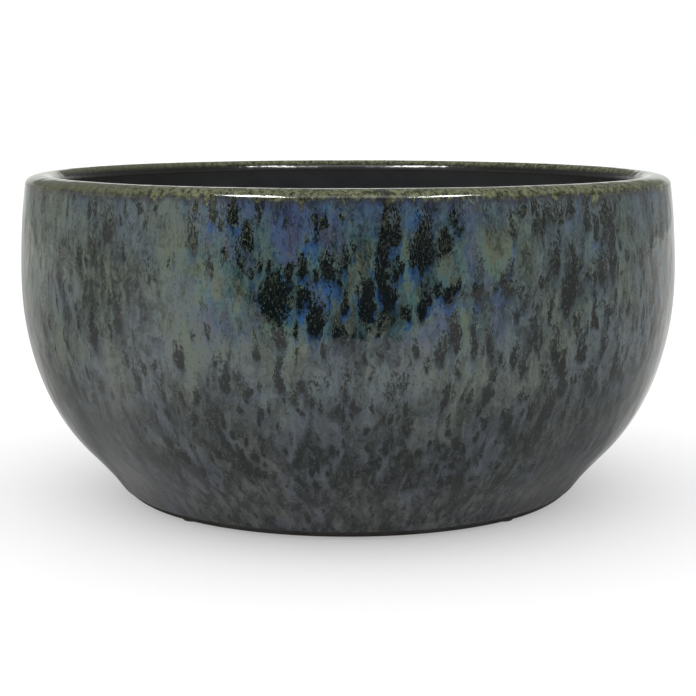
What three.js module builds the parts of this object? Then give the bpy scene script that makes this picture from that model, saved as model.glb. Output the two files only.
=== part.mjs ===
// Planter bowl: a turned stoneware body with three fused glaze coats, on four felt feet.
// Millimetres, +Z up, origin on the floor under the middle of the bowl.
import * as THREE from 'three';

// Driving dimensions
const BOWL_R = 155; // widest radius, over the glaze
const BOWL_H = 153; // floor to the top of the lip, felt feet included
const GLAZE = 0.9; // thickness of each coat
const WALL = 11; // clay wall at the widest height
const FLOOR = 12; // clay floor
const FOOT_H = 16.8; // height where the belly leaves the foot
const RECESS = 7; // hollow under the base
const GLAZE_STOP = 3.4; // bare clay left above the standing edge
const LIP_H = 4.1; // shoulder to the top of the lip, outside
const LIP_IN_H = 5.5; // top of the lip down to the inner wall
const LIP_W = 14; // width of the lip, over the glaze
const RING_W = 12; // flat ring that the bowl stands on
const FELT_R = 5; // felt foot, radius
const FELT_T = 1; // felt foot, thickness
const ROUND = 52; // facets round the axis

// Proportions
const WIDEST = 0.68; // height of the widest point, share of the bowl's height
const BELLY = 0.426; // half-width of the belly ellipse, share of the bowl's radius
const SWEEP = 2.3; // radius of the upper wall's arc, share of the bowl's radius
const FOOT = 0.7305; // foot's widest radius, share of the bowl's radius
const CREST = 0.65; // place of the crest in the lip's width, from outside
const FOOT_EDGE = -1.12; // angle where the foot's rounded side meets the standing ring
const FOOT_FOLD = -0.262; // angle where the fold to the belly leaves it

// Sizes that follow
const clayR = BOWL_R - GLAZE;
const footR = FOOT * BOWL_R - GLAZE;
const footRound = 0.863 * FOOT_H;
const crease = 0.232 * FOOT_H;
const footMid = point(footR - footRound, FELT_T - footRound * Math.sin(FOOT_EDGE));
const ringR = footMid.x + footRound * Math.cos(FOOT_EDGE);
const ringIn = ringR - RING_W;
const recessZ = FELT_T + RECESS;
const floorZ = recessZ + FLOOR;
const widestZ = WIDEST * BOWL_H;
const bellyW = BELLY * BOWL_R;
const bellyR = clayR - bellyW;
const sweepR = SWEEP * BOWL_R;
const shoulderZ = BOWL_H - LIP_H;
const crestZ = BOWL_H - GLAZE;
const lean = Math.asin((shoulderZ - widestZ) / sweepR);
const shoulderR = clayR - sweepR * (1 - Math.cos(lean));
const lipW = LIP_W - 2 * GLAZE;
const crestR = shoulderR - CREST * lipW;

function point(r, z) {
  return new THREE.Vector2(r, z);
}

// Points along an ellipse's arc, from one angle to another
function arc(r, z, a, b, from, to, steps) {
  return new THREE.EllipseCurve(r, z, a, b, from, to, to < from).getPoints(steps);
}

// Hollow under the base, its cove, and the flat standing ring
function underside() {
  const cove = RECESS / 2;
  return [
    point(0, recessZ),
    ...arc(ringIn - cove, recessZ - cove, cove, cove, Math.PI / 2, 0, 3),
    point(ringIn, FELT_T),
    point(ringR, FELT_T),
  ];
}

// Rounded side of the foot, bare up to the glaze line and coated above it
function footEdge() {
  const stop = Math.asin(GLAZE_STOP / footRound + Math.sin(FOOT_EDGE));
  const bare = arc(footMid.x, footMid.y, footRound, footRound, FOOT_EDGE, stop, 2);
  const coated = arc(footMid.x, footMid.y, footRound, footRound, stop, FOOT_FOLD, 3);
  return { bare: bare.slice(1), coated: coated.slice(1) };
}

// Crease where the belly springs from the foot, the belly, and the upper wall
function outerWall() {
  const start = -Math.acos((footR + crease - bellyR) / bellyW);
  const bellyH = (widestZ - FOOT_H) / Math.sin(-start);
  const slope = (bellyH * Math.cos(start)) / (bellyW * Math.sin(-start));
  const foldR = footMid.x + footRound * Math.cos(FOOT_FOLD);
  const foldZ = footMid.y + footRound * Math.sin(FOOT_FOLD);
  const flare = Math.tan(-FOOT_FOLD);
  const cornerZ = (FOOT_H + slope * (foldR - footR - crease - flare * foldZ)) / (1 - slope * flare);
  const fold = new THREE.QuadraticBezierCurve(
    point(foldR, foldZ),
    point(foldR + flare * (cornerZ - foldZ), cornerZ),
    point(footR + crease, FOOT_H),
  );
  return [
    ...fold.getPoints(3).slice(1),
    ...arc(bellyR, widestZ, bellyW, bellyH, start, 0, 9).slice(1),
    ...arc(clayR - sweepR, widestZ, sweepR, sweepR, 0, lean, 4).slice(1),
  ];
}

// Lip: a wide round outside the crest and a tighter one inside it
function lipRound() {
  const height = crestZ - shoulderZ;
  const turn = Math.atan((Math.tan(lean) * height) / (shoulderR - crestR));
  const outH = height / (1 - Math.sin(turn));
  const outW = (shoulderR - crestR) / Math.cos(turn);
  const inH = LIP_IN_H - GLAZE;
  const inW = (1 - CREST) * lipW;
  return [
    ...arc(crestR, crestZ - outH, outW, outH, turn, Math.PI / 2, 5).slice(1),
    ...arc(crestR, crestZ - inH, inW, inH, Math.PI / 2, Math.PI, 4).slice(1),
  ];
}

// Inside: the upper wall, the belly, and the flat floor
function innerWall() {
  const widestR = clayR - WALL;
  const topR = shoulderR - lipW;
  const rise = crestZ - LIP_IN_H + GLAZE - widestZ;
  const inset = widestR - topR;
  const sweep = (rise * rise + inset * inset) / (2 * inset);
  return [
    ...arc(widestR - sweep, widestZ, sweep, sweep, Math.asin(rise / sweep), 0, 3).slice(1),
    ...arc(bellyR, widestZ, bellyW - WALL, widestZ - floorZ, 0, -Math.PI / 2, 8).slice(1),
    point(0, floorZ),
  ];
}

// The whole clay outline, from the axis underneath round to the axis inside
const foot = footEdge();
const stretches = [underside(), foot.bare, [...foot.coated, ...outerWall()], lipRound(), innerWall()];
const outline = stretches.flat();
const ends = stretches.map((_, i) => stretches.slice(0, i + 1).flat().length - 1);
const [, glazeFrom, shoulderAt, innerAt, lastAt] = ends;

// One outline point moved out by the glaze along the outline's own normal
function glazed(i) {
  const p = outline[i];
  const before = p.clone().sub(outline[i - 1]).normalize();
  const after = i === lastAt ? before : outline[i + 1].clone().sub(p).normalize();
  const side = point(before.y + after.y, -before.x - after.x).normalize();
  const miter = GLAZE / side.dot(point(after.y, -after.x));
  return p.clone().addScaledVector(side, miter);
}

// Closed section of the coat that lies on the outline from one point to another
function coat(from, to, feathered) {
  const skin = [];
  for (let i = feathered ? from + 1 : from; i <= to; i++) skin.push(glazed(i));
  return [...outline.slice(from, to + 1).reverse(), ...skin];
}

// A section turned about the axis, each facet split along the diagonal that its neighbour uses
function turned(name, section, look, onClay) {
  const closed = section[0].x > 0 ? [...section, section[0]] : section;
  const solid = new THREE.LatheGeometry(closed, ROUND).rotateX(Math.PI / 2);
  const index = solid.index.array;
  for (let i = 0; onClay && i < index.length; i += 6) {
    const [a, b, d, c] = index.slice(i, i + 4);
    index.set([a, b, c, a, c, d], i);
  }
  return named(name, solid, look);
}

function named(name, geometry, look) {
  const mesh = new THREE.Mesh(geometry, new THREE.MeshStandardMaterial(look));
  mesh.name = name;
  return mesh;
}

// Self-adhesive felt disc, centred under the standing ring
function feltFoot(name, turn) {
  const disc = new THREE.CylinderGeometry(FELT_R, FELT_R, FELT_T, 24).rotateX(Math.PI / 2);
  const r = ringR - RING_W / 2;
  disc.translate(r * Math.cos(turn), r * Math.sin(turn), FELT_T / 2);
  return named(name, disc, { color: 0x3b3a37, roughness: 0.95, metalness: 0 });
}

const bowl = new THREE.Group();
const clay = { color: 0x2e2c2a, roughness: 0.85, metalness: 0 };
const mottled = { color: 0x4b5658, roughness: 0.12, metalness: 0 };
const olive = { color: 0x666b49, roughness: 0.16, metalness: 0 };
const dark = { color: 0x232527, roughness: 0.25, metalness: 0 };
bowl.add(
  turned('stoneware_body', outline, clay, false),
  turned('outer_glaze', coat(glazeFrom, shoulderAt, true), mottled, true),
  turned('rim_glaze', coat(shoulderAt, innerAt, false), olive, true),
  turned('inner_glaze', coat(innerAt, lastAt, false), dark, true),
);
['front_left', 'front_right', 'back_right', 'back_left'].forEach((place, i) => {
  bowl.add(feltFoot(`felt_foot_${place}`, Math.PI * (1.25 + i / 2)));
});

export default bowl;
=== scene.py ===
# Planter bowl: dark stoneware, reactive glaze, olive dip over the lip, dark liner glaze, four felt feet.
import math
from types import SimpleNamespace

import bmesh
import bpy
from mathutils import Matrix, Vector, geometry, noise


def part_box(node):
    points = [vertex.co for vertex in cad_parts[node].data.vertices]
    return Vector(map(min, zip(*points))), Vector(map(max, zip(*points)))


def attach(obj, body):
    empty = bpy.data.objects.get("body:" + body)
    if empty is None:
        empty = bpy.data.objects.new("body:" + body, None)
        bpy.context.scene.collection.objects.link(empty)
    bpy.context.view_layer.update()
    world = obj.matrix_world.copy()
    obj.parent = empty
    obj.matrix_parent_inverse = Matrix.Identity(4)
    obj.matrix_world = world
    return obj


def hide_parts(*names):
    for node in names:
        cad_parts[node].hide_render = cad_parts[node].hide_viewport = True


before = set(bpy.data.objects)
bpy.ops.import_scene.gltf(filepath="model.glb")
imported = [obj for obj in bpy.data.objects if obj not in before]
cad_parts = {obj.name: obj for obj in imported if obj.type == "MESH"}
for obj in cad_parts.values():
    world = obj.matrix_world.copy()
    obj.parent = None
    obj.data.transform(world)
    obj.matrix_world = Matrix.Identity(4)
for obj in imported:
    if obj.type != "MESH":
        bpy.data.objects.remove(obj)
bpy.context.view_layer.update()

# Camera
# An 86 mm lens 0.8 m in front of the bowl's axis, a little above the rim and tipped down,
# which is where the outline, the lip and the foot of the photographed bowl put it.
lens = 85.765
camera_away, camera_up = 0.7974, 0.1893
camera_tip = 8.684

camera = bpy.data.objects.new("camera", bpy.data.cameras.new("camera"))
camera.data.sensor_width = 36.0
camera.data.lens = lens
camera.location = (0.0, -camera_away, camera_up)
camera.rotation_euler = (math.radians(90 - camera_tip), 0.0, 0.0)
bpy.context.scene.collection.objects.link(camera)
bpy.context.scene.camera = camera

# Stoneware body
# One thrown and turned piece of dark clay: full belly, rounded lip, hollow foot. The coats hide
# all but the foot's standing edge and the base, which stay bare, dry and fine-grained.
clay_low, clay_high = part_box("stoneware_body")
clay_r = clay_high.x
crest_z = clay_high.z
stand_z = clay_low.z
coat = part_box("outer_glaze")[1].x - clay_r
glaze_line_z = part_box("outer_glaze")[0].z
floor_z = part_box("inner_glaze")[0].z
liner_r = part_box("inner_glaze")[1].x
wall = clay_r - liner_r

widest_z = 0.10404  # height of the widest point
belly_w = 0.06603  # half-width of the belly's ellipse
sweep_r = 0.3565  # radius of the upper wall's arc
shoulder_z = 0.1489  # where the lip's round starts outside
lip_w = 0.0122
lip_in_h = 0.0046  # crest down to the inner wall
crest_share = 0.65  # place of the crest in the lip's width, from outside
foot_z = 0.0168  # where the belly leaves the fold
foot_r = 0.11233
foot_round = 0.0145  # radius of the foot's side
foot_start, foot_end = -1.12, -0.262  # angles of the foot's side at the ring and at the fold
crease = 0.0039  # how far the fold leads out
ring_w = 0.012
ring_edge = 0.0008
recess_z = 0.008
cove = 0.0035
tool_rings, tool_depth = 900, 0.00012  # radians per metre, and depth
facets = 300  # round the axis
wedges = 12  # equal turns that they are spun in
sharp_turn = math.radians(48)
dark_clay, pale_clay, grog_grey = (0.016, 0.015, 0.014), (0.034, 0.031, 0.028), (0.085, 0.078, 0.068)


def arc(middle, reach, start, end, steps):
    """Points along an elliptical arc in the turning plane: distance from the axis, then height."""
    turns = [start + (end - start) * i / steps for i in range(steps + 1)]
    return [Vector((middle[0] + reach[0] * math.cos(t), middle[1] + reach[1] * math.sin(t))) for t in turns]


def bend(start, corner, end, steps):
    """Points along a curve that leaves start towards corner and comes in to end from it."""
    shares = [i / steps for i in range(steps + 1)]
    return [start * (1 - t) ** 2 + corner * 2 * t * (1 - t) + end * t * t for t in shares]


def turned_base():
    """Recess with shallow tool rings, its cove, and the flat ring that the bowl stands on."""
    ring_in = foot_middle.x + foot_round * math.cos(foot_start) - ring_w
    flat = ring_in - cove
    rings = [flat * i / 72 for i in range(73)]
    ceiling = [Vector((r, recess_z - tool_depth * (1 - math.cos(r * tool_rings)))) for r in rings]
    edge_middle, edge_reach = (ring_in + ring_edge, stand_z + ring_edge), (ring_edge, ring_edge)
    edge = arc(edge_middle, edge_reach, math.pi, 1.5 * math.pi, 4)
    return ceiling + arc((flat, recess_z - cove), (cove, cove), math.pi / 2, 0, 6)[1:] + edge


def foot_edge():
    """Rounded side of the foot: the bare part below the glaze line, then the coated part."""
    reach = (foot_round, foot_round)
    line = math.asin((glaze_line_z - foot_middle.y) / foot_round)
    return arc(foot_middle, reach, foot_start, line, 6), arc(foot_middle, reach, line, foot_end, 12)


def outer_wall():
    """Fold above the foot, belly, and the upper wall up to the shoulder."""
    belly_r = clay_r - belly_w
    start = -math.acos((foot_r + crease - belly_r) / belly_w)
    belly_h = (widest_z - foot_z) / math.sin(-start)
    slope = belly_h * math.cos(start) / (belly_w * math.sin(-start))
    leave = arc(foot_middle, (foot_round, foot_round), foot_end, foot_end, 1)[0]
    flare = math.tan(-foot_end)
    corner_z = (foot_z + slope * (leave.x - foot_r - crease - flare * leave.y)) / (1 - slope * flare)
    corner = Vector((leave.x + flare * (corner_z - leave.y), corner_z))
    fold = bend(leave, corner, Vector((foot_r + crease, foot_z)), 10)
    belly = arc((belly_r, widest_z), (belly_w, belly_h), start, 0, 40)
    upper = arc((clay_r - sweep_r, widest_z), (sweep_r, sweep_r), 0, lean, 22)
    return fold[1:] + belly[1:] + upper[1:]


def lip():
    """Wide round outside the crest, then a tighter one inside it."""
    height = crest_z - shoulder_z
    turn = math.atan(math.tan(lean) * height / (shoulder_r - crest_r))
    out = ((shoulder_r - crest_r) / math.cos(turn), height / (1 - math.sin(turn)))
    into = ((1 - crest_share) * lip_w, lip_in_h)
    outside = arc((crest_r, crest_z - out[1]), out, turn, math.pi / 2, 18)
    return outside[1:], arc((crest_r, crest_z - lip_in_h), into, math.pi / 2, math.pi, 14)[1:]


def inside():
    """Inner upper wall, inner belly, and the floor in to the axis."""
    rise = crest_z - lip_in_h - widest_z
    inset = liner_r - (shoulder_r - lip_w)
    sweep = (rise * rise + inset * inset) / (2 * inset)
    belly_r = clay_r - belly_w
    upper = arc((liner_r - sweep, widest_z), (sweep, sweep), math.asin(rise / sweep), 0, 16)
    belly = arc((belly_r, widest_z), (belly_w - wall, widest_z - floor_z), 0, -math.pi / 2, 36)
    floor = [Vector((belly_r * (1 - i / 24), floor_z)) for i in range(25)]
    return upper[1:] + belly[1:] + floor[1:]


foot_middle = Vector((foot_r - foot_round, stand_z - foot_round * math.sin(foot_start)))
lean = math.asin((shoulder_z - widest_z) / sweep_r)
shoulder_r = clay_r - sweep_r * (1 - math.cos(lean))
crest_r = shoulder_r - crest_share * lip_w
bare_edge, coated_edge = foot_edge()
lip_outside, lip_inside = lip()
stretches = [turned_base(), bare_edge[1:], coated_edge[1:] + outer_wall(), lip_outside, lip_inside, inside()]
outline = [p for stretch in stretches for p in stretch]
ends = [sum(map(len, stretches[: i + 1])) - 1 for i in range(len(stretches))]
line_at, shoulder_at, crest_at, liner_at = ends[1:5]

lengths = [0.0]
for before, after in zip(outline, outline[1:]):
    lengths.append(lengths[-1] + (after - before).length)


def run_at(i):
    """Way down from the crest to an outline point."""
    return lengths[crest_at] - lengths[i]


def profile(points, run, thick=0.0):
    """Section points raised by a thickness: place, way down from the crest, facing, and 1 for a skin."""
    rows = []
    for i, point in enumerate(points):
        along = points[min(i + 1, len(points) - 1)] - points[max(i - 1, 0)]
        up = Vector((along.y, -along.x)).normalized()
        run -= (point - points[max(i - 1, 0)]).length
        place = point + up * (thick(run) if callable(thick) else thick)
        rows.append((max(place.x, 0.0), place.y, run, up, 1.0 if thick else 0.0))
    return rows


def turned(name, rows, settle=None):
    """Turns a section about the axis, lets its skin settle, and keeps where each point lies on the skin."""
    mesh_work = bmesh.new()
    flow = mesh_work.verts.layers.float_vector.new("flow")
    lift = mesh_work.verts.layers.float_vector.new("lift")
    chain = []
    for r, z, run, up, skin in rows:
        vert = mesh_work.verts.new((r, 0.0, z))
        vert[flow] = (0.0, 0.0, run)
        vert[lift] = (up.x, skin, up.y)
        chain.append(vert)
    links = list(zip(chain, chain[1:])) + ([(chain[-1], chain[0])] if rows[0][0] > 0 else [])
    section = [mesh_work.edges.new(pair) for pair in links]
    about = {"cent": (0, 0, 0), "axis": (0, 0, 1), "dvec": (0, 0, 0)}
    wedge = 2 * math.pi / wedges
    rest = 2 * math.pi - wedge
    bmesh.ops.spin(mesh_work, geom=chain + section, angle=wedge, steps=facets // wedges, **about)
    whole = mesh_work.verts[:] + mesh_work.edges[:] + mesh_work.faces[:]
    bmesh.ops.spin(mesh_work, geom=whole, angle=rest, steps=wedges - 1, use_duplicate=True, **about)
    bmesh.ops.remove_doubles(mesh_work, verts=mesh_work.verts, dist=1e-6)
    bmesh.ops.recalc_face_normals(mesh_work, faces=mesh_work.faces)
    for vert in mesh_work.verts:
        angle = math.atan2(vert.co.y, vert.co.x)
        way = Vector((math.cos(angle), math.sin(angle), 0.0))
        vert[flow] = way * clay_r + Vector((0.0, 0.0, vert[flow].z))
        if settle:
            out_r, skin, out_z = vert[lift]
            out = way * out_r + Vector((0.0, 0.0, out_z))
            along = Vector((0.0, 0.0, out_r)) - way * out_z
            raised, slid = settle(vert[flow], skin)
            vert.co += out * raised + along * slid
    mesh_work.verts.layers.float_vector.remove(lift)
    mesh = made_mesh(name, mesh_work)
    mesh.shade_smooth()
    mesh.set_sharp_from_angle(angle=sharp_turn)
    return placed(name, mesh)


def made_mesh(name, mesh_work):
    """Mesh of a finished piece of work."""
    mesh = bpy.data.meshes.new(name)
    mesh_work.to_mesh(mesh)
    mesh_work.free()
    return mesh


def placed(name, mesh):
    """Object at the origin that shows a mesh."""
    made = bpy.data.objects.new(name, mesh)
    bpy.context.scene.collection.objects.link(made)
    return made


def node(tree, kind, *feeds, **settings):
    """Adds a shader node: settings are its choices, feeds pair a socket with a value or an output."""
    made = tree.nodes.new("ShaderNode" + kind)
    for name, value in settings.items():
        setattr(made, name, value)
    for socket, feed in feeds:
        if isinstance(feed, bpy.types.NodeSocket):
            tree.links.new(feed, made.inputs[socket])
        else:
            made.inputs[socket].default_value = feed
    return made


def grain(tree, where, scale, detail=2.0, rough=0.5):
    """Noise of a given fineness, 0 to 1."""
    feeds = (("Vector", where), ("Scale", scale), ("Detail", detail), ("Roughness", rough))
    return node(tree, "TexNoise", *feeds).outputs["Fac"]


def eased(tree, value, low, high, start=0.0, end=1.0, kind="SMOOTHSTEP"):
    """Step from start to end while a value goes from low to high, soft unless kind says otherwise."""
    feeds = (("Value", value), ("From Min", low), ("From Max", high), ("To Min", start), ("To Max", end))
    return node(tree, "MapRange", *feeds, interpolation_type=kind).outputs["Result"]


def blend(tree, share, first, second):
    """Colour between two colours."""
    made = node(tree, "Mix", (0, share), data_type="RGBA")
    for socket, feed in ((made.inputs[6], first), (made.inputs[7], second)):
        if isinstance(feed, bpy.types.NodeSocket):
            tree.links.new(feed, socket)
        else:
            socket.default_value = (*feed, 1.0)
    return made.outputs[2]


def new_finish(name):
    """Material with its node tree and its surface shader."""
    material = bpy.data.materials.new(name)
    material.use_nodes = True
    return material, material.node_tree, material.node_tree.nodes["Principled BSDF"]


def uneven(tree, finish, height, depth, share):
    """Lets a height show as unevenness of the surface."""
    bump = node(tree, "Bump", ("Height", height), ("Distance", depth), ("Strength", share))
    tree.links.new(bump.outputs["Normal"], finish.inputs["Normal"])


def bare_clay():
    """Dry dark stoneware with fine grog."""
    material, tree, finish = new_finish("bare_clay")
    place = node(tree, "TexCoord").outputs["Object"]
    cloud = grain(tree, place, 60, 4, 0.6)
    grog = grain(tree, place, 1800, 2)
    body = blend(tree, eased(tree, cloud, 0.3, 0.7), dark_clay, pale_clay)
    specked = blend(tree, eased(tree, grog, 0.64, 0.74), body, grog_grey)
    tree.links.new(specked, finish.inputs["Base Color"])
    tree.links.new(eased(tree, grog, 0.3, 0.7, 0.72, 0.92), finish.inputs["Roughness"])
    uneven(tree, finish, grog, 0.00012, 0.7)
    return material


clay_body = turned("clay_body", profile(outline, run_at(0)))
clay_body.data.materials.append(bare_clay())
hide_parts("stoneware_body")
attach(clay_body, "root")

# Dark liner glaze
# Anthracite glaze poured round the inside and out again, fused to the clay from below the lip
# down over the floor; the throwing rings of the wall show through it.
throw_pitch, throw_depth = 0.0135, 0.00014
throw_from, throw_fade = 0.012, 0.03  # way below the crest where the rings start, and their fading-in
pour_depth = 0.0001
liner_deep, liner_pale = (0.029, 0.031, 0.0345), (0.038, 0.0405, 0.0445)
liner_thin, liner_fleck = (0.030, 0.030, 0.026), (0.05, 0.05, 0.046)


def liner_settles(lie, skin):
    """Throwing rings that climb round the wall, and a soft unevenness of the pour."""
    turn = math.atan2(lie.y, lie.x) / (2 * math.pi)
    fade = min(1.0, max(0.0, (-lie.z - throw_from) / throw_fade))
    ring = 0.5 - 0.5 * math.cos(2 * math.pi * (-lie.z / throw_pitch + turn))
    pour = 0.5 + 0.5 * noise.noise(lie * 30)
    return -skin * fade * (throw_depth * ring + pour_depth * pour), 0.0


def sum_of(tree, kind, first, second=0.0):
    """One sum on two numbers."""
    return node(tree, "Math", (0, first), (1, second), operation=kind).outputs[0]


def plus(tree, first, second):
    """Two numbers added."""
    return sum_of(tree, "ADD", first, second)


def times(tree, first, second):
    """Two numbers multiplied."""
    return sum_of(tree, "MULTIPLY", first, second)


def liner_glaze():
    """Satin near-black glaze, a little browner and thinner high on the wall."""
    material, tree, finish = new_finish("liner_glaze")
    place = node(tree, "TexCoord").outputs["Object"]
    lie = node(tree, "Attribute", attribute_name="flow").outputs["Vector"]
    down = node(tree, "SeparateXYZ", ("Vector", lie)).outputs["Z"]
    cloud = grain(tree, place, 45, 4, 0.6)
    fleck = grain(tree, place, 1500, 2)
    ragged = plus(tree, down, times(tree, grain(tree, place, 240, 3), 0.008))
    colour = blend(tree, eased(tree, cloud, 0.35, 0.65), liner_deep, liner_pale)
    colour = blend(tree, eased(tree, ragged, -0.012, 0.0), colour, liner_thin)
    colour = blend(tree, eased(tree, fleck, 0.66, 0.76, 0.0, 0.35), colour, liner_fleck)
    tree.links.new(colour, finish.inputs["Base Color"])
    satin = plus(tree, eased(tree, cloud, 0.3, 0.7, 0.16, 0.26), eased(tree, down, -0.03, -0.008, 0.0, 0.16))
    tree.links.new(satin, finish.inputs["Roughness"])
    uneven(tree, finish, grain(tree, place, 320, 3), 0.0001, 0.5)
    return material


liner_wall = outline[liner_at:]
liner_rows = profile(liner_wall, run_at(liner_at))[::-1] + profile(liner_wall, run_at(liner_at), coat)
liner = turned("liner_coat", liner_rows, liner_settles)
liner.data.materials.append(liner_glaze())
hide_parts("inner_glaze")
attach(liner, "root")

# Outer reactive glaze
# Thick glossy glaze brushed on and run in the kiln: light slate, teal and blue tongues between
# near-black runs with olive hairs. It stops in a soft wavy roll just above the standing edge.
bead_h = 0.0060  # way over which the coat rises from the glaze line
thinnest = 0.00004
pool_from, pool_to = 0.0075, 0.0235  # heights between which pooled glaze fills the fold
swell_depth, ripple_depth, skin_fade = 0.00022, 0.00010, 0.01
wave_reach, wave_depth = 0.008, 0.0005  # of the glaze line round the foot
glass_ior = 1.5
relief_depth, swell_share, ripple_share, speck_share = 0.001, 0.34, 0.08, 0.004
eddy_pull, curl_pull = (0.007, 0.007, 0.012), (0.0028, 0.0028, 0.006)  # how far the melt pulls a place
# Zones by the way down from the crest: where each starts and where it is full
lip_zone, dip_zone, seam_zone = (-0.0022, -0.0054), (0.0100, 0.0078), (0.0125, 0.0095)
belt_zone, dust_zone = (0.030, 0.012), (0.055, 0.010)
band_top, band_bottom = (0.024, 0.036), (0.064, 0.055)
slate_zone, thick_zone, front_blue = (0.050, 0.075), (0.050, 0.080), (0.072, 0.056)
calm_zone, sparse_zone = (0.070, 0.110), (0.072, 0.112)
belly_zone, foot_zone = (0.065, 0.125), (0.125, 0.155)
# Zones by the way from the middle of the front, and by the depth along the line of sight
band_side, front_side, flank_side = (0.046, 0.030), (0.085, 0.045), (0.070, 0.108)
front_depth, facing_depth = (-0.09, -0.13), (0.0, -0.05)
# Fineness of the noises, per metre
region_fine, drift_fine, cloud_fine, vein_fine, streak_fine = 24, 34, 75, 85, 150
eddy_fine, curl_fine, frizz_fine = 110, 480, 480
hair_fine, speck_fine, dot_fine = 1400, 1300, 1700
drip_fine, shore_fine, mottle_fine = 120, 300, 460
swell_fine, ripple_fine = 110, 380
grey_green, slate_teal, slate = (0.096, 0.118, 0.100), (0.080, 0.103, 0.104), (0.090, 0.104, 0.107)
belt_blue, end_teal, end_blue = (0.040, 0.066, 0.155), (0.056, 0.128, 0.142), (0.024, 0.072, 0.172)
# The foot colour is painted light: a lighter grey that stands in for the light the down-facing foot does not
# get.
belly_slate, foot_painted_light = (0.080, 0.088, 0.103), (0.110, 0.117, 0.124)
cool_cast, warm_cast = (0.95, 0.97, 1.07), (1.08, 1.05, 0.88)
green_ink, blue_ink, foot_ink = (0.003, 0.006, 0.006), (0.005, 0.007, 0.008), (0.027, 0.029, 0.031)
fleck_olive, dust_olive = (0.066, 0.083, 0.056), (0.094, 0.107, 0.074)
pale_speck, dark_speck = (0.095, 0.110, 0.100), (0.006, 0.008, 0.008)
olive_dark, olive_light, olive_smooth = (0.020, 0.024, 0.011), (0.148, 0.160, 0.088), (0.070, 0.074, 0.044)
olive_speck, seam_dark, lip_shade = (0.26, 0.26, 0.18), (0.026, 0.022, 0.026), (0.016, 0.016, 0.015)
# Hues of the clouds in front: place from 0 to 1, colour
cloud_hues = (
    (0.33, (0.060, 0.066, 0.104)),
    (0.41, (0.034, 0.062, 0.130)),
    (0.47, (0.064, 0.088, 0.094)),
    (0.54, (0.046, 0.106, 0.116)),
    (0.63, (0.086, 0.100, 0.066)),
)
# Scattered marks: spacing, squeeze, and share for the smaller ones
large_marks = (0.0108, 0.34)
small_marks = ((0.0066, 0.27, 1.0), (0.0040, 0.27, 0.95))
run_start, run_stop = 0.006, 0.008  # way over which a dark run starts and ends
# Dark runs, listed: across, way down to the start and to the end, half width
long_runs = (
    (0.0150, 0.002, 0.058, 0.0021),
    (-0.0405, 0.015, 0.034, 0.0026),
    (-0.0285, 0.037, 0.061, 0.0060),
    (0.0290, 0.044, 0.061, 0.0028),
    (0.0075, 0.037, 0.060, 0.0042),
    (0.0215, 0.047, 0.060, 0.0022),
    (-0.0100, 0.011, 0.024, 0.0030),
    (0.0385, 0.017, 0.036, 0.0032),
)
# Patches with few marks: across, way down, half width, half height
clear_patches = (
    (-0.0260, 0.0220, 0.0100, 0.0120),
    (0.0540, 0.0260, 0.0120, 0.0180),
    (0.0080, 0.0155, 0.0090, 0.0065),
    (0.0400, 0.0340, 0.0090, 0.0090),
    (-0.0455, 0.0470, 0.0080, 0.0110),
    (-0.0760, 0.0545, 0.0120, 0.0120),
)
# Lighter and darker places: across, way down, half width, half height, amount
shades = (
    (-0.1000, 0.0500, 0.0240, 0.0380, -0.26),
    (-0.0630, 0.0560, 0.0150, 0.0460, 0.24),
    (0.0010, 0.0700, 0.0130, 0.0190, -0.30),
    (0.0320, 0.0660, 0.0130, 0.0190, 0.24),
    (0.0860, 0.0430, 0.0200, 0.0170, -0.34),
    (0.0710, 0.0680, 0.0200, 0.0160, -0.24),
    (0.0500, 0.0330, 0.0120, 0.0160, 0.22),
    (-0.0190, 0.0290, 0.0150, 0.0090, 0.42),
    (-0.0140, 0.0610, 0.0100, 0.0100, 0.36),
    (0.0330, 0.0285, 0.0090, 0.0090, -0.44),
    (0.0150, 0.0520, 0.0090, 0.0090, -0.40),
)


def coat_depth(run):
    """Thickness of the outer coat: it rises from nothing at the glaze line."""
    share = min(1.0, (line_run - run) / bead_h)
    return max(thinnest, coat * share * (2 - share))


def pooled_wall():
    """Clay wall from the glaze line to the shoulder, with the fold above the foot filled by pooled glaze."""
    below = [p for p in outer_clay if p.y < pool_from]
    above = [p for p in outer_clay if p.y > pool_to]
    start, end = below[-1], above[0]
    up, down = (start - below[-2]).normalized(), (end - above[1]).normalized()
    corner = geometry.intersect_line_line_2d(start, start + up * 0.05, end, end + down * 0.05)
    return below[:-1] + bend(start, corner, end, 18) + above[1:]


def glaze_settles(lie, skin):
    """Broad swells and fine runs in the skin, and the wave of the glaze line round the foot."""
    to_line = line_run - lie.z
    raised = slid = 0.0
    if skin:
        swell = 0.5 - 0.5 * noise.noise(Vector((lie.x * 30, lie.y * 30, lie.z * 20)))
        ripple = 0.5 - 0.5 * noise.noise(Vector((lie.x * 120, lie.y * 120, lie.z * 70)))
        raised = -min(1.0, to_line / skin_fade) * (swell_depth * swell + ripple_depth * ripple)
    if to_line < wave_reach:
        wave = noise.noise(Vector((lie.x * 26, lie.y * 26, 3.7)))
        wave += 0.5 * noise.noise(Vector((lie.x * 70, lie.y * 70, 9.1)))
        slid = (1.0 - to_line / wave_reach) * wave_depth * wave
    return raised, slid


def less(tree, first, second):
    """The second number taken from the first."""
    return sum_of(tree, "SUBTRACT", first, second)


def most(tree, first, second):
    """The larger of two numbers."""
    return sum_of(tree, "MAXIMUM", first, second)


def size_of(tree, number):
    """A number without its sign."""
    return sum_of(tree, "ABSOLUTE", number)


def ramped(tree, value, low, high, start=0.0, end=1.0):
    """Straight step from start to end while a value goes from low to high."""
    return eased(tree, value, low, high, start, end, "LINEAR")


def moved(tree, kind, where, by):
    """One vector sum on a place."""
    return node(tree, "VectorMath", (0, where), (1, by), operation=kind).outputs["Vector"]


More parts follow.
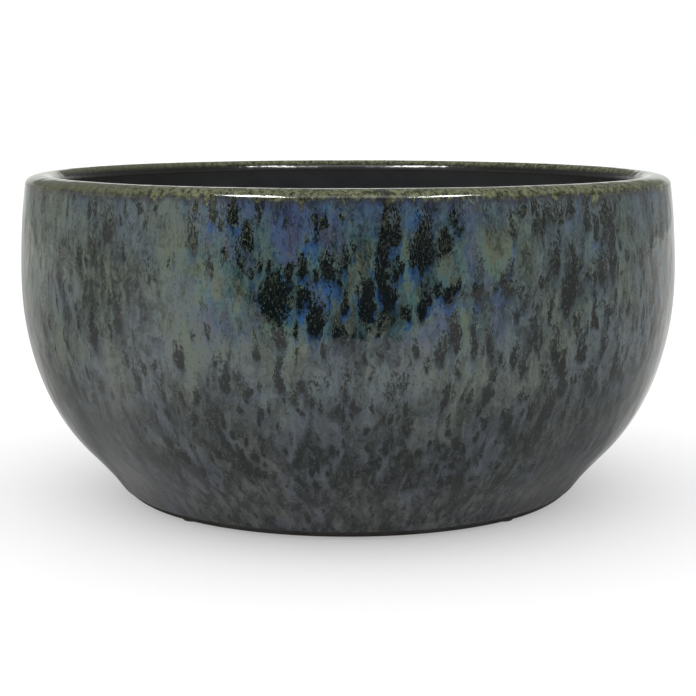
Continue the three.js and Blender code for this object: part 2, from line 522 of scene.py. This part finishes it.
def drawn_out(tree, where, share):
    """Place with its way down shortened, so that a pattern there is drawn out downwards."""
    return moved(tree, "MULTIPLY", where, (1, 1, share))


def length_of(tree, way):
    """Length of a vector."""
    return node(tree, "VectorMath", (0, way), operation="LENGTH").outputs["Value"]


def whirl(tree, where, scale, detail):
    """Noise with a value each way, 0 to 1."""
    return node(tree, "TexNoise", ("Vector", where), ("Scale", scale), ("Detail", detail)).outputs["Color"]


def away_from(tree, where, across, down, half, tall):
    """How far a place lies from the middle of a patch, 1 at its edge."""
    off = moved(tree, "SUBTRACT", where, (across, 0.0, down))
    return length_of(tree, moved(tree, "MULTIPLY", off, (1 / half, 0.0, 1 / tall)))


def melted_skin(tree):
    """Place on the skin, the melt that pulls it, and the zones and noises that all patterns share."""
    lie = node(tree, "Attribute", attribute_name="flow").outputs["Vector"]
    across, depth, down = node(tree, "SeparateXYZ", ("Vector", lie)).outputs
    off_middle = size_of(tree, across)
    calm = eased(tree, down, *calm_zone, 1.0, 0.65)

    # Runs get shorter towards the foot, where the coat lay thinner
    short = sum_of(tree, "POWER", most(tree, less(tree, down, 0.07), 0.0), 2.0)
    fall = plus(tree, times(tree, short, 4.0), down)
    spread = node(tree, "CombineXYZ", (0, across), (1, depth), (2, fall)).outputs[0]

    # Melt that pulls every pattern out of true
    eddy = moved(tree, "SUBTRACT", whirl(tree, drawn_out(tree, spread, 0.5), eddy_fine, 2), (0.5, 0.5, 0.5))
    curl = moved(tree, "SUBTRACT", whirl(tree, drawn_out(tree, spread, 0.6), curl_fine, 3), (0.5, 0.5, 0.5))
    pull = moved(tree, "MULTIPLY", eddy, eddy_pull)
    twist = moved(tree, "MULTIPLY", curl, curl_pull)
    twist = node(tree, "VectorMath", (0, twist), (3, calm), operation="SCALE").outputs["Vector"]
    pulled = moved(tree, "ADD", moved(tree, "ADD", spread, pull), twist)

    region = grain(tree, lie, region_fine, 2)
    front = times(tree, eased(tree, off_middle, *front_side), eased(tree, depth, *front_depth))
    band = times(tree, eased(tree, down, *band_top), eased(tree, down, *band_bottom))
    band = times(tree, band, eased(tree, off_middle, *band_side))
    hair = grain(tree, drawn_out(tree, pulled, 0.36), hair_fine, 3, 0.6)
    return SimpleNamespace(
        tree=tree,
        lie=lie,
        across=across,
        down=down,
        off_middle=off_middle,
        calm=calm,
        pulled=pulled,
        melt=drawn_out(tree, pulled, 0.45),
        hair=hair,
        fringe=times(tree, less(tree, hair, 0.5), times(tree, calm, 2.4)),
        speck=grain(tree, drawn_out(tree, lie, 0.6), speck_fine, 2),
        region=region,
        side=plus(tree, region, times(tree, across, 0.9)),
        front=front,
        facing=eased(tree, depth, *facing_depth),
        band=times(tree, band, front),
        lower=eased(tree, down, *belly_zone),
        footing=eased(tree, down, *foot_zone),
    )


def crowding(glaze):
    """How close the run marks stand: closer at the right and in the front's dark band."""
    tree, down = glaze.tree, glaze.down
    crowd = times(tree, less(tree, glaze.side, 0.5), 0.8)
    right = times(tree, eased(tree, down, 0.026, 0.046, 0.0, 0.42), eased(tree, glaze.across, 0.035, 0.085))
    right = times(tree, right, eased(tree, glaze.lower, 0.2, 1.0, 1.0, 0.2))
    crowd = plus(tree, crowd, plus(tree, right, times(tree, glaze.band, 0.42)))
    for patch in clear_patches:
        clear = eased(tree, away_from(tree, glaze.pulled, *patch), 1.15, 0.7, 0.0, 0.6)
        crowd = less(tree, crowd, times(tree, clear, glaze.facing))
    return crowd


def drips(glaze, spacing, slim, crowd):
    """Marks scattered over the skin: how dark a place is, and how far into a mark's soft lower end."""
    tree = glaze.tree
    squeezed = drawn_out(tree, glaze.pulled, slim)
    marks = node(tree, "TexVoronoi", ("Vector", squeezed), ("Scale", 1 / spacing))
    off = moved(tree, "SUBTRACT", squeezed, marks.outputs["Position"])
    off = moved(tree, "MULTIPLY", off, (2 / spacing, 2 / spacing, 2 / spacing))
    along = node(tree, "SeparateXYZ", ("Vector", off)).outputs["Z"]
    away = length_of(tree, off)
    rank = node(tree, "SeparateXYZ", ("Vector", marks.outputs["Color"])).outputs["X"]
    here = eased(tree, plus(tree, rank, crowd), 0.28, 0.68)
    frayed = plus(tree, away, times(tree, glaze.fringe, eased(tree, along, 0.4, -0.5)))
    core = times(tree, eased(tree, frayed, 1.02, 0.25), eased(tree, along, 0.8, -0.15))
    end = times(tree, eased(tree, away, 1.15, 0.6), eased(tree, along, -0.25, 0.4))
    return times(tree, core, here), times(tree, end, here)


def scattered_marks(glaze):
    """Dark run marks of three sizes, with ragged tops and soft lower ends."""
    tree, down = glaze.tree, glaze.down
    crowd = crowding(glaze)
    few = less(tree, crowd, eased(tree, down, *sparse_zone, 0.16, 0.50))
    dark, end = drips(glaze, *large_marks, few)
    crowd = plus(tree, crowd, eased(tree, down, *thick_zone, 0.0, 0.15))
    crowd = plus(tree, crowd, eased(tree, glaze.front, 0.0, 1.0, 0.0, 0.14))
    for spacing, slim, share in small_marks:
        more_dark, more_end = drips(glaze, spacing, slim, crowd)
        dark = most(tree, dark, times(tree, more_dark, share))
        end = most(tree, end, times(tree, more_end, share))
    return dark, end


def set_runs(glaze):
    """How dark a place is from the listed runs."""
    tree = glaze.tree
    across, _, down = node(tree, "SeparateXYZ", ("Vector", glaze.pulled)).outputs
    dark = 0.0
    for place, start, stop, half in long_runs:
        off = size_of(tree, less(tree, across, place))
        frayed = plus(tree, off, times(tree, glaze.fringe, half * 0.6))
        run = times(tree, eased(tree, frayed, half, half * 0.3), glaze.facing)
        begun = eased(tree, down, start, start + run_start)
        going = eased(tree, down, stop, stop - run_stop)
        dark = most(tree, dark, times(tree, run, times(tree, begun, going)))
    return dark


def veins(glaze):
    """Thin dark lines that wander down the belly."""
    tree = glaze.tree
    lie = grain(tree, drawn_out(tree, glaze.pulled, 0.28), vein_fine, 3, 0.55)
    vein = eased(tree, size_of(tree, less(tree, lie, 0.5)), 0.11, 0.0)
    return times(tree, vein, eased(tree, glaze.lower, 0.0, 1.0, 0.1, 0.55))


def lightness(glaze, dark, end):
    """How light the glaze is, 0 to 1: streaked clouds and hairs, less the run marks."""
    tree, lower = glaze.tree, glaze.lower
    streak = grain(tree, drawn_out(tree, glaze.pulled, 0.36), streak_fine, 3, 0.55)
    tone = plus(tree, times(tree, streak, 1.9), eased(tree, glaze.down, *thick_zone, 0.10, 0.14))
    tone = less(tree, tone, times(tree, dark, 1.25))
    tone = less(tree, tone, times(tree, glaze.band, 0.02))
    stray = times(tree, less(tree, glaze.hair, 0.5), eased(tree, lower, 0.0, 1.0, 0.7, 0.4))
    frizz = less(tree, grain(tree, glaze.melt, frizz_fine, 5, 0.7), 0.5)
    frizz = times(tree, frizz, eased(tree, end, 0.0, 0.8, 2.1, 0.5))
    tone = plus(tree, tone, plus(tree, stray, times(tree, frizz, glaze.calm)))
    for *patch, amount in shades:
        shade = eased(tree, away_from(tree, glaze.pulled, *patch), 1.2, 0.2, 0.0, amount)
        tone = plus(tree, tone, times(tree, shade, glaze.facing))
    darkest = eased(tree, lower, 0.0, 1.0, 0.34, 0.24)
    lightest = eased(tree, lower, 0.0, 1.0, 1.27, 1.76)
    flank = times(tree, eased(tree, glaze.off_middle, *flank_side, 0.0, 0.45), lower)
    return ramped(tree, flank, 0.0, 1.0, ramped(tree, tone, darkest, lightest), 0.36)


def light_glaze(glaze, end):
    """Colour between the runs: grey-green to slate, blue and teal in front and at the runs' lower ends."""
    tree, down, pulled = glaze.tree, glaze.down, glaze.pulled
    light = blend(tree, eased(tree, glaze.side, 0.36, 0.60), grey_green, slate_teal)
    light = blend(tree, eased(tree, down, *slate_zone, 0.0, 0.7), light, slate)
    clouds = node(tree, "ValToRGB", ("Fac", grain(tree, drawn_out(tree, pulled, 0.5), cloud_fine, 2)))
    stops = clouds.color_ramp.elements
    for place, colour in cloud_hues:
        stops.new(place).color = (*colour, 1.0)
    stops.remove(stops[-1])
    stops.remove(stops[0])
    bluing = times(
        tree,
        eased(tree, glaze.region, 0.46, 0.62, 0.10, 0.4),
        eased(tree, glaze.across, -0.06, 0.02, 0.3, 1.0),
    )
    bluing = times(tree, most(tree, glaze.front, bluing), eased(tree, down, *front_blue, 0.2, 1.0))
    belt = times(tree, eased(tree, down, *belt_zone), times(tree, bluing, 0.6))
    ends = times(tree, end, eased(tree, bluing, 0.0, 1.0, 0.15, 0.95))
    light = blend(tree, times(tree, bluing, 0.85), light, clouds.outputs["Color"])
    light = blend(tree, belt, light, belt_blue)
    light = blend(tree, ends, light, blend(tree, eased(tree, end, 0.25, 0.8), end_teal, end_blue))
    light = blend(tree, times(tree, glaze.lower, 0.8), light, belly_slate)
    # Painted light: the glaze turns lighter grey towards the foot, in place of light that the down-facing
    # foot does not get.
    light = blend(tree, times(tree, glaze.footing, 0.8), light, foot_painted_light)
    drift = grain(tree, drawn_out(tree, pulled, 0.6), drift_fine, 3, 0.65)
    return moved(tree, "MULTIPLY", light, blend(tree, eased(tree, drift, 0.36, 0.64), cool_cast, warm_cast))


def wall_colour(glaze, dark, end):
    """Near-black runs on the light glaze, olive flecks where they fray, olive dust, and fine specks."""
    tree = glaze.tree
    ink = blend(tree, eased(tree, glaze.region, 0.4, 0.6), green_ink, blue_ink)
    ink = blend(tree, times(tree, glaze.footing, 0.8), ink, foot_ink)
    colour = blend(tree, lightness(glaze, dark, end), ink, light_glaze(glaze, end))
    frayed = times(tree, eased(tree, dark, 0.05, 0.30), eased(tree, dark, 1.0, 0.6, 0.25, 1.0))
    frayed = times(tree, frayed, eased(tree, end, 0.5, 0.1))
    dots = grain(tree, drawn_out(tree, glaze.pulled, 0.6), dot_fine, 2, 0.6)
    flecks = times(tree, frayed, eased(tree, dots, 0.53, 0.66))
    flecks = times(tree, flecks, eased(tree, glaze.lower, 0.0, 1.0, 0.75, 0.2))
    colour = blend(tree, flecks, colour, fleck_olive)
    dust = times(tree, eased(tree, glaze.hair, 0.48, 0.64), eased(tree, glaze.down, *dust_zone))
    dust = times(tree, dust, eased(tree, glaze.side, 0.52, 0.40, 0.35, 0.8))
    colour = blend(tree, dust, colour, dust_olive)
    colour = blend(tree, eased(tree, glaze.speck, 0.62, 0.72, 0.0, 0.5), colour, pale_speck)
    return blend(tree, eased(tree, glaze.speck, 0.40, 0.28, 0.0, 0.7), colour, dark_speck)


def olive_dip(glaze, colour, run_dark):
    """Dip over the lip, with a ragged lower edge, a dark seam under it and a dark fade to the inside."""
    tree, down = glaze.tree, glaze.down
    drip_lie = grain(tree, drawn_out(tree, glaze.pulled, 0.025), drip_fine, 1)
    drip = eased(tree, less(tree, drip_lie, times(tree, down, 2.6)), 0.56, 0.64)
    shore = times(tree, less(tree, grain(tree, glaze.melt, shore_fine, 4, 0.6), 0.5), 0.007)
    reach = plus(tree, plus(tree, down, shore), times(tree, drip, -0.004))
    dipped = times(tree, eased(tree, reach, *dip_zone), eased(tree, run_dark, 0.1, 0.7, 1.0, 0.25))
    mottle = grain(tree, drawn_out(tree, glaze.lie, 0.9), mottle_fine, 5, 0.72)
    olive = blend(tree, eased(tree, mottle, 0.38, 0.62), olive_dark, olive_light)
    olive = blend(tree, eased(tree, glaze.speck, 0.58, 0.70, 0.0, 0.55), olive, olive_speck)
    olive = blend(tree, eased(tree, glaze.across, -0.06, -0.12, 0.0, 0.7), olive, olive_smooth)
    colour = blend(tree, eased(tree, reach, *seam_zone, 0.0, 0.6), colour, seam_dark)
    colour = blend(tree, dipped, colour, olive)
    fade = plus(tree, down, times(tree, shore, 0.3))
    return blend(tree, eased(tree, fade, *lip_zone), colour, lip_shade)


def reactive_glaze(name):
    """Glossy glaze that changes with the way down: olive dip, blue belt, mottled wall, slate belly."""
    material, tree, finish = new_finish(name)
    glaze = melted_skin(tree)
    dark, end = scattered_marks(glaze)
    run_dark = set_runs(glaze)
    dark = most(tree, most(tree, dark, run_dark), veins(glaze))
    colour = olive_dip(glaze, wall_colour(glaze, dark, end), run_dark)
    tree.links.new(colour, finish.inputs["Base Color"])
    dulled = eased(tree, glaze.down, -0.003, -0.008, 0.0, 0.4)
    gloss = plus(tree, eased(tree, glaze.speck, 0.3, 0.7, 0.015, 0.035), dulled)
    tree.links.new(gloss, finish.inputs["Roughness"])
    finish.inputs["IOR"].default_value = glass_ior
    swell = times(tree, grain(tree, drawn_out(tree, glaze.lie, 0.8), swell_fine, 1), swell_share)
    ripple = times(tree, grain(tree, drawn_out(tree, glaze.lie, 0.7), ripple_fine, 3), ripple_share)
    relief = plus(tree, plus(tree, swell, ripple), times(tree, glaze.speck, speck_share))
    uneven(tree, finish, relief, relief_depth, 1.0)
    return material


outer_clay = outline[line_at : shoulder_at + 1]
outer_skin = pooled_wall()
line_run = run_at(shoulder_at) + sum((q - p).length for p, q in zip(outer_skin, outer_skin[1:]))
outer_rows = profile(outer_skin, line_run, coat_depth) + profile(outer_clay, run_at(line_at))[::-1]
outer = turned("outer_coat", outer_rows, glaze_settles)
outer.data.materials.append(reactive_glaze("mottled_glaze"))
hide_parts("outer_glaze")
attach(outer, "root")

# Olive rim glaze
# Second glaze that the fired lip was dipped in: it lies over the crest, runs down into the blue
# belt outside, and thins to the dark liner a few millimetres down inside.
rim_wall = outline[shoulder_at : liner_at + 1]
rim_rows = profile(rim_wall, run_at(shoulder_at), coat) + profile(rim_wall, run_at(shoulder_at))[::-1]
rim = turned("rim_coat", rim_rows, glaze_settles)
rim.data.materials.append(reactive_glaze("olive_glaze"))
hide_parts("rim_glaze")
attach(rim, "root")

# Felt feet
# Four self-adhesive discs of pressed felt, punched out of sheet and stuck to the flat of the foot
# ring; their cut edges are soft and hairy.
felt_edge = 0.00025  # rounding of the cut edges
felt_insets = (0.0012, 0.0016)
fray_depth, fray_from = 0.00016, 0.8
wool_dark, wool_light = (0.022, 0.021, 0.020), (0.085, 0.081, 0.076)


def pressed_felt():
    """Matted grey wool: fibres every way, light hairs on a dark ground."""
    material, tree, finish = new_finish("pressed_felt")
    place = node(tree, "TexCoord").outputs["Object"]
    bent = moved(tree, "MULTIPLY", whirl(tree, place, 900, 2), (0.002, 0.002, 0.0008))
    tangled = moved(tree, "ADD", place, bent)
    fibre = grain(tree, moved(tree, "MULTIPLY", tangled, (1, 0.25, 1)), 5200, 3)
    cross = grain(tree, moved(tree, "MULTIPLY", tangled, (0.25, 1, 1)), 5200, 3)
    mat = most(tree, fibre, cross)
    wool = blend(tree, eased(tree, mat, 0.45, 0.72), wool_dark, wool_light)
    tree.links.new(wool, finish.inputs["Base Color"])
    finish.inputs["Roughness"].default_value = 0.95
    finish.inputs["Sheen Weight"].default_value = 0.3
    uneven(tree, finish, mat, 0.0002, 0.9)
    return material


def felt_foot(place):
    """Punched disc with rounded edges, its rim roughened by loose fibres."""
    low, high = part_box("felt_foot_" + place)
    middle = (low + high) / 2
    radius = (high.x - low.x) / 2
    mesh_work = bmesh.new()
    bmesh.ops.create_circle(mesh_work, cap_ends=True, radius=radius, segments=64)
    raised = bmesh.ops.extrude_face_region(mesh_work, geom=mesh_work.faces[:])["geom"]
    top = [g for g in raised if isinstance(g, bmesh.types.BMVert)]
    bmesh.ops.translate(mesh_work, vec=(0, 0, high.z - low.z), verts=top)
    bmesh.ops.recalc_face_normals(mesh_work, faces=mesh_work.faces)
    rims = [e for f in mesh_work.faces if len(f.verts) > 4 for e in f.edges]
    bmesh.ops.bevel(
        mesh_work,
        geom=rims,
        affect="EDGES",
        offset=felt_edge,
        offset_type="OFFSET",
        segments=3,
        profile=0.5,
        material=-1,
    )
    caps = [f for f in mesh_work.faces if len(f.verts) > 4]
    for inset in felt_insets:
        bmesh.ops.inset_region(mesh_work, faces=caps, thickness=inset)
    bmesh.ops.poke(mesh_work, faces=caps)
    bmesh.ops.translate(mesh_work, vec=(middle.x, middle.y, low.z), verts=mesh_work.verts)
    for vert in mesh_work.verts:
        out = Vector((vert.co.x - middle.x, vert.co.y - middle.y, 0.0))
        fray = 0.5 + 0.5 * noise.noise(vert.co * 2600)
        if out.length > radius * fray_from:
            vert.co -= out.normalized() * fray_depth * fray
    mesh = made_mesh("felt_" + place, mesh_work)
    mesh.shade_smooth()
    return placed("felt_" + place, mesh)


felt = pressed_felt()
for place in ("front_left", "front_right", "back_right", "back_left"):
    foot = felt_foot(place)
    foot.data.materials.append(felt)
    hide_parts("felt_foot_" + place)
    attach(foot, "root")

# Studio
# White table that glows a little, white surroundings and one broad soft light from above. Only the gloss
# sees the graded surround, the dark opening towards the lens, the table's sheen and the three strips.
table_side, table_white, table_glow = 12.0, (0.62, 0.62, 0.62, 1), 0.35
opening_r, opening_half, low_edge, high_edge = 1.6, 37.6, -12, 68  # radius, then degrees
opening_blue, opening_glow = (0.6, 0.8, 1.0), 0.004
surround_r, surround_low, surround_white = 2.5, -8, (0.98, 1, 0.97)
gap_z, gap_glow = 0.002, 0.01
gap_half = ((0.13, -0.475), (0.19, -0.56), (0.30, -0.71), (0.62, -1.06), (1.35, -1.95))
sheen_z, sheen_side, sheen_white = 0.0006, 10.0, (1, 1, 0.97)
# Lobes of the sheen: way, where they start and end, amount
sheen_lobes = (
    ((0.5, 0.866, 0), 0.72, 0.95, 0.28),
    ((-0.87, -0.49, 0), 0.92, 0.995, 0.18),
    ((0.96, -0.28, 0), 0.92, 0.99, -0.13),
)
# Strips over the front: side, middle, width, glow
strips = (("left", -0.326, 0.169, 40.0), ("middle", 0.0165, 0.516, 1.8), ("right", 0.334, 0.119, 40.0))
strip_depth, strip_y, strip_z = 0.42, -0.44, 0.75
lamp_energy, lamp_tilt, lamp_lean = 0.75, math.radians(18), math.radians(-12)


def flat(name, width, depth, place):
    """Level rectangle about a place."""
    mesh_work = bmesh.new()
    bmesh.ops.create_grid(mesh_work, x_segments=1, y_segments=1, size=0.5)
    bmesh.ops.scale(mesh_work, vec=(width, depth, 1), verts=mesh_work.verts)
    bmesh.ops.translate(mesh_work, vec=place, verts=mesh_work.verts)
    return made_mesh(name, mesh_work)


def reflected(name, mesh, colour, glow):
    """Gives a mesh a plain glow and hides it from all but glossy rays."""
    material, tree, finish = new_finish(name)
    finish.inputs["Base Color"].default_value = (0, 0, 0, 1)
    finish.inputs["Specular IOR Level"].default_value = 0.0
    finish.inputs["Emission Color"].default_value = (*colour, 1)
    finish.inputs["Emission Strength"].default_value = glow
    mesh.materials.append(material)
    made = placed(name, mesh)
    made.visible_camera = made.visible_diffuse = made.visible_shadow = made.visible_transmission = False
    return tree, finish.inputs["Emission Strength"]


def dome(name, radius, shown):
    """Part of a sphere round the bowl, kept where shown says so for a bearing and a rise in degrees."""
    mesh_work = bmesh.new()
    bmesh.ops.create_uvsphere(mesh_work, u_segments=240, v_segments=90, radius=radius)
    for vert in list(mesh_work.verts):
        bearing = math.degrees(math.atan2(vert.co.x, -vert.co.y))
        rise = math.degrees(math.asin(max(-1.0, min(1.0, vert.co.z / radius))))
        if not shown(bearing, rise):
            mesh_work.verts.remove(vert)
    return made_mesh(name, mesh_work)


def surround_glow(tree):
    """Glow of the surround by bearing and rise: brighter low down, brightest low behind the bowl."""
    place = node(tree, "TexCoord").outputs["Object"]
    right_way, back_way, up_way = node(tree, "SeparateXYZ", ("Vector", place)).outputs
    bearing = sum_of(tree, "ARCTAN2", right_way, times(tree, back_way, -1.0))
    bearing = times(tree, bearing, 180 / math.pi)
    aside = size_of(tree, bearing)
    rise = sum_of(tree, "ARCSINE", sum_of(tree, "DIVIDE", up_way, surround_r))
    rise = times(tree, rise, 180 / math.pi)
    low_glow = eased(tree, bearing, -30, 30, 0.60, 0.41)
    low_glow = eased(tree, aside, 84, 98, low_glow, 0.42)
    low_glow = eased(tree, aside, 142, 158, low_glow, 0.80)
    high_glow = eased(tree, aside, 92, 108, 0.15, 0.20)
    glow = eased(tree, rise, 11.5, 16.5, low_glow, high_glow)
    middle_share = times(tree, eased(tree, aside, 164, 174), eased(tree, rise, 18.5, 15.0))
    glow = ramped(tree, middle_share, 0.0, 1.0, glow, 1.0)
    low_share = times(tree, eased(tree, aside, 165, 177), eased(tree, rise, 7.5, 3.0))
    return ramped(tree, low_share, 0.0, 1.0, glow, 2.8)


def table_gap():
    """Dark patch in front of the bowl that the opening leaves in the table's sheen."""
    mesh_work = bmesh.new()
    edge = [mesh_work.verts.new((x, y, gap_z)) for x, y in gap_half]
    edge += [mesh_work.verts.new((-x, y, gap_z)) for x, y in gap_half[::-1]]
    bmesh.ops.contextual_create(mesh_work, geom=edge)
    return made_mesh("table_gap", mesh_work)


def toward(tree, way, other):
    """How far one way goes along another."""
    return node(tree, "VectorMath", (0, way), (1, other), operation="DOT_PRODUCT").outputs["Value"]


def sheen_glow(tree):
    """What the gloss sees of the table: bright in front, greyer at the right and behind, shaded close in."""
    lie = drawn_out(tree, node(tree, "TexCoord").outputs["Object"], 0)
    off = length_of(tree, lie)
    way = node(tree, "VectorMath", (0, lie), operation="NORMALIZE").outputs["Vector"]
    right_way, back_way, _ = node(tree, "SeparateXYZ", ("Vector", way)).outputs
    base = plus(tree, toward(tree, way, (-0.095, -0.11, 0)), 0.67)
    for lobe, low, high, amount in sheen_lobes:
        base = plus(tree, base, eased(tree, toward(tree, way, lobe), low, high, 0.0, amount))
    left = toward(tree, way, (-0.6, 0.8, 0))
    drop = times(tree, eased(tree, left, 0.2, 0.6, 0.0, 0.34), eased(tree, off, 1.8, 0.5))
    base = less(tree, base, times(tree, drop, eased(tree, left, 0.98, 0.80, 0.3, 1.0)))
    lift = times(tree, eased(tree, back_way, -0.2, 0.25), eased(tree, off, 0.24, 0.17))
    lift = times(tree, lift, eased(tree, right_way, -0.2, 0.2, 0.18, 0.13))
    near = sum_of(tree, "POWER", ramped(tree, off, 0.104, 0.25), 0.5)
    return plus(tree, times(tree, base, near), lift)


table = placed("table", flat("table", table_side, table_side, (0, 0, 0)))
table_paint, _, table_finish = new_finish("table_paint")
table_finish.inputs["Base Color"].default_value = table_white
table_finish.inputs["Emission Color"].default_value = (1, 1, 1, 1)
table_finish.inputs["Emission Strength"].default_value = table_glow
table_finish.inputs["Roughness"].default_value = 0.9
table_finish.inputs["Specular IOR Level"].default_value = 0.1
table.data.materials.append(table_paint)

opening = dome("dark_opening", opening_r, lambda b, r: abs(b) <= opening_half and low_edge < r < high_edge)
reflected("dark_opening", opening, opening_blue, opening_glow)
surround = dome("surround", surround_r, lambda b, r: r > surround_low)
surround_tree, surround_strength = reflected("surround", surround, surround_white, 1.0)
surround_tree.links.new(surround_glow(surround_tree), surround_strength)
reflected("table_gap", table_gap(), (1, 1, 1), gap_glow)
sheen = flat("table_shine", sheen_side, sheen_side, (0, 0, sheen_z))
sheen_tree, sheen_strength = reflected("table_shine", sheen, sheen_white, 1.0)
sheen_tree.links.new(sheen_glow(sheen_tree), sheen_strength)
for side, middle, width, glow in strips:
    strip = flat("strip_" + side, width, strip_depth, (middle, strip_y, strip_z))
    reflected("strip_" + side, strip, (1, 1, 1), glow)

lamp = bpy.data.objects.new("soft_top", bpy.data.lights.new("soft_top", "SUN"))
lamp.data.energy = lamp_energy
lamp.data.angle = math.radians(90)
lamp.rotation_euler = (lamp_tilt, lamp_lean, 0)
lamp.visible_glossy = False
bpy.context.scene.collection.objects.link(lamp)
studio = bpy.data.worlds.new("studio")
studio.use_nodes = True
studio.node_tree.nodes["Background"].inputs["Color"].default_value = (1, 1, 1, 1)
studio.node_tree.nodes["Background"].inputs["Strength"].default_value = 1.0
bpy.context.scene.world = studio
bpy.context.scene.view_settings.view_transform = "Standard"
